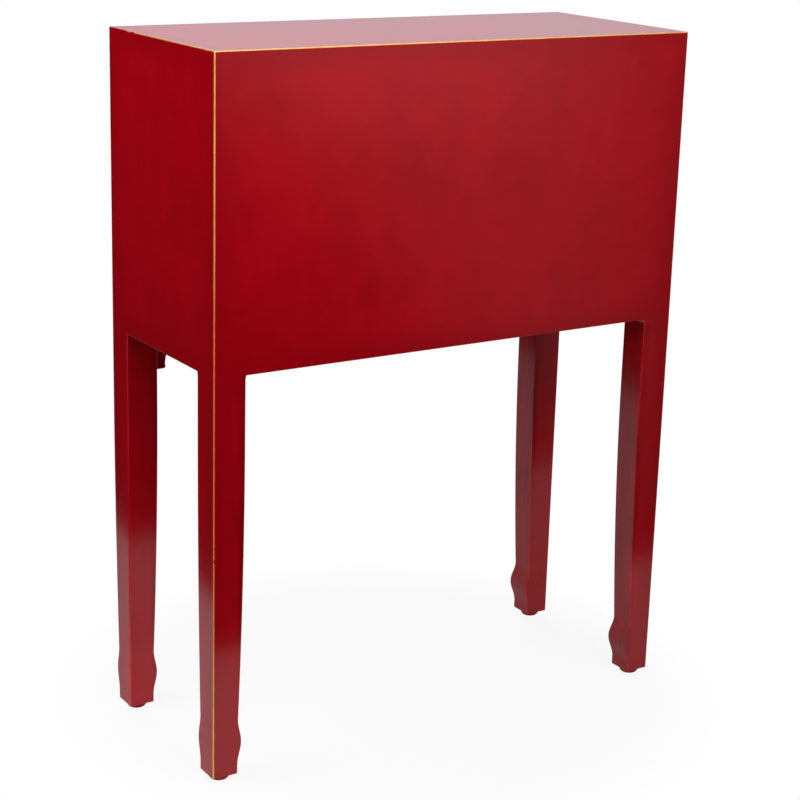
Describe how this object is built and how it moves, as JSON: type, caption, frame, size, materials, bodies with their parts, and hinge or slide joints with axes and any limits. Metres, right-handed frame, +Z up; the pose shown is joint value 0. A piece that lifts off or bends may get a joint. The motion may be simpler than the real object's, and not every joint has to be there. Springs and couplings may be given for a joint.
{
  "type": "console table",
  "caption": "Tall red lacquered console table on hoof-footed legs: a flush box case with a sliding drawer over hinged doors, scalloped corner brackets and swinging brass pulls.",
  "frame": {"origin": "on the floor, below the middle of the whole piece with its pulls", "axes": "+Z up, -Y out of the front with the drawer and doors, +X to the right as seen from the front"},
  "size_m": [0.64, 0.2742, 0.8373],
  "materials": {
    "red_lacquer": "satin red lacquer over wood",
    "bare_wood": "bare sanded wood",
    "aged_brass": "satin aged brass",
    "bright_steel": "bright steel",
    "brown_plastic": "matte brown plastic",
    "dark_pad": "dark matte pad"
  },
  "bodies": {
    "case": {"leg_front_left": "red_lacquer", "leg_front_right": "red_lacquer", "leg_back_left": "red_lacquer", "leg_back_right": "red_lacquer", "glide_front_left": "dark_pad", "glide_front_right": "dark_pad", "glide_back_left": "dark_pad", "glide_back_right": "dark_pad", "top_board": "red_lacquer", "back_panel": "red_lacquer", "side_panel_left": "red_lacquer", "side_panel_right": "red_lacquer", "top_rail": "red_lacquer", "middle_rail": "red_lacquer", "bottom_rail": "red_lacquer", "dust_board": "bare_wood", "bottom_board": "bare_wood", "bracket_left": "red_lacquer", "bracket_right": "red_lacquer", "drawer_guide_left": "bare_wood", "drawer_guide_right": "bare_wood", "drawer_stop_left": "bare_wood", "drawer_stop_right": "bare_wood", "door_catch": "brown_plastic", "hinge_left_upper_post_leaf": "aged_brass", "hinge_left_upper_pin": "aged_brass", "hinge_left_lower_post_leaf": "aged_brass", "hinge_left_lower_pin": "aged_brass", "hinge_right_upper_post_leaf": "aged_brass", "hinge_right_upper_pin": "aged_brass", "hinge_right_lower_post_leaf": "aged_brass", "hinge_right_lower_pin": "aged_brass"},
    "drawer": {"drawer_front": "red_lacquer", "drawer_side_left": "bare_wood", "drawer_side_right": "bare_wood", "drawer_bottom": "bare_wood", "drawer_back": "bare_wood", "drawer_plate": "aged_brass", "drawer_eye_left": "aged_brass", "drawer_eye_right": "aged_brass"},
    "bail": {"drawer_bail": "aged_brass"},
    "left_door": {"door_left": "red_lacquer", "door_plate_left": "aged_brass", "door_eye_left": "aged_brass", "door_strike_left": "bright_steel", "hinge_left_upper_door_leaf": "aged_brass", "hinge_left_lower_door_leaf": "aged_brass"},
    "right_door": {"door_right": "red_lacquer", "door_plate_right": "aged_brass", "door_eye_right": "aged_brass", "door_strike_right": "bright_steel", "hinge_right_upper_door_leaf": "aged_brass", "hinge_right_lower_door_leaf": "aged_brass"},
    "left_ring": {"door_ring_left": "aged_brass"},
    "right_ring": {"door_ring_right": "aged_brass"}
  },
  "joints": [
    {"name": "drawer_slide", "type": "slide", "parent": "case", "child": "drawer", "axis": [0, -1, 0], "range_m": [0, 0.165]},
    {"name": "drawer_bail_swing", "type": "hinge", "parent": "drawer", "child": "bail", "pos_m": [0, -0.13245, 0.7695], "axis": [-1, 0, 0], "range_deg": [0, 100]},
    {"name": "left_door_hinge", "type": "hinge", "parent": "case", "child": "left_door", "pos_m": [-0.279, -0.12605, 0.60165], "axis": [0, 0, -1], "range_deg": [0, 170]},
    {"name": "right_door_hinge", "type": "hinge", "parent": "case", "child": "right_door", "pos_m": [0.279, -0.12605, 0.60165], "axis": [0, 0, 1], "range_deg": [0, 170]},
    {"name": "left_ring_swing", "type": "hinge", "parent": "left_door", "child": "left_ring", "pos_m": [-0.0175, -0.13245, 0.61365], "axis": [-1, 0, 0], "range_deg": [0, 100]},
    {"name": "right_ring_swing", "type": "hinge", "parent": "right_door", "child": "right_ring", "pos_m": [0.0175, -0.13245, 0.61365], "axis": [-1, 0, 0], "range_deg": [0, 100]}
  ]
}
